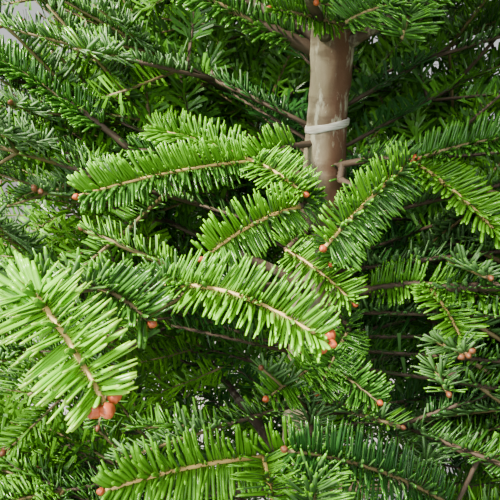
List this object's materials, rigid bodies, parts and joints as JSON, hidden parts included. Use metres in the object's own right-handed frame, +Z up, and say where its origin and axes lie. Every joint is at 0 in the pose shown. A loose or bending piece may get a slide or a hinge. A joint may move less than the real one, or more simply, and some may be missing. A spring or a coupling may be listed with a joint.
{
  "type": "christmas tree",
  "caption": "Whole cut fir for Christmas with tiered boughs and flat sprays of needles, standing on a plain wooden cross stand.",
  "frame": {"origin": "middle of the stand's flat underside, where the two beams cross, below the foot of the trunk", "axes": "+Z up along the trunk, +X and +Y along the two beams of the stand; -Y is the side the picture looks from"},
  "size_m": [1.2977, 1.1787, 2],
  "materials": {
    "trunk_bark": "grey-brown bark, fairly smooth",
    "bough_bark": "dark brown bark",
    "needles": "glossy green needles",
    "young_needles": "glossy light green needles",
    "sawn_timber": "sawn, unpainted",
    "tie_band": "pale band"
  },
  "bodies": {
    "root": {"bough_whorl_1_a": "bough_bark", "bough_whorl_1_b": "bough_bark", "bough_whorl_1_c": "bough_bark", "bough_whorl_1_d": "bough_bark", "bough_whorl_1_e": "bough_bark", "bough_whorl_2_a": "bough_bark", "bough_whorl_2_b": "bough_bark", "bough_whorl_2_c": "bough_bark", "bough_whorl_2_d": "bough_bark", "bough_whorl_2_e": "bough_bark", "bough_whorl_3_a": "bough_bark", "bough_whorl_3_b": "bough_bark", "bough_whorl_3_c": "bough_bark", "bough_whorl_3_d": "bough_bark", "bough_whorl_3_e": "bough_bark", "bough_whorl_4_a": "bough_bark", "bough_whorl_4_b": "bough_bark", "bough_whorl_4_c": "bough_bark", "bough_whorl_4_d": "bough_bark", "foliage_between_1_a": "needles", "foliage_between_1_b": "needles", "foliage_between_2_a": "needles", "foliage_between_2_b": "needles", "foliage_between_3_a": "needles", "foliage_between_3_b": "needles", "foliage_leader": "young_needles", "foliage_whorl_1_a": "needles", "foliage_whorl_1_b": "needles", "foliage_whorl_1_c": "needles", "foliage_whorl_1_d": "needles", "foliage_whorl_1_e": "needles", "foliage_whorl_2_a": "needles", "foliage_whorl_2_b": "needles", "foliage_whorl_2_c": "needles", "foliage_whorl_2_d": "needles", "foliage_whorl_2_e": "needles", "foliage_whorl_3_a": "needles", "foliage_whorl_3_b": "needles", "foliage_whorl_3_c": "needles", "foliage_whorl_3_d": "needles", "foliage_whorl_3_e": "needles", "foliage_whorl_4_a": "needles", "foliage_whorl_4_b": "needles", "foliage_whorl_4_c": "needles", "foliage_whorl_4_d": "needles", "foliage_whorl_5_a": "young_needles", "foliage_whorl_5_b": "young_needles", "foliage_whorl_5_c": "young_needles", "foliage_whorl_5_d": "young_needles", "foliage_whorl_6_a": "young_needles", "foliage_whorl_6_b": "young_needles", "foliage_whorl_6_c": "young_needles", "stand_beam_x": "sawn_timber", "stand_beam_y": "sawn_timber", "stand_brace_1": "sawn_timber", "stand_brace_2": "sawn_timber", "stand_brace_3": "sawn_timber", "stand_brace_4": "sawn_timber", "trunk": "trunk_bark", "trunk_tie": "tie_band"}
  },
  "joints": []
}
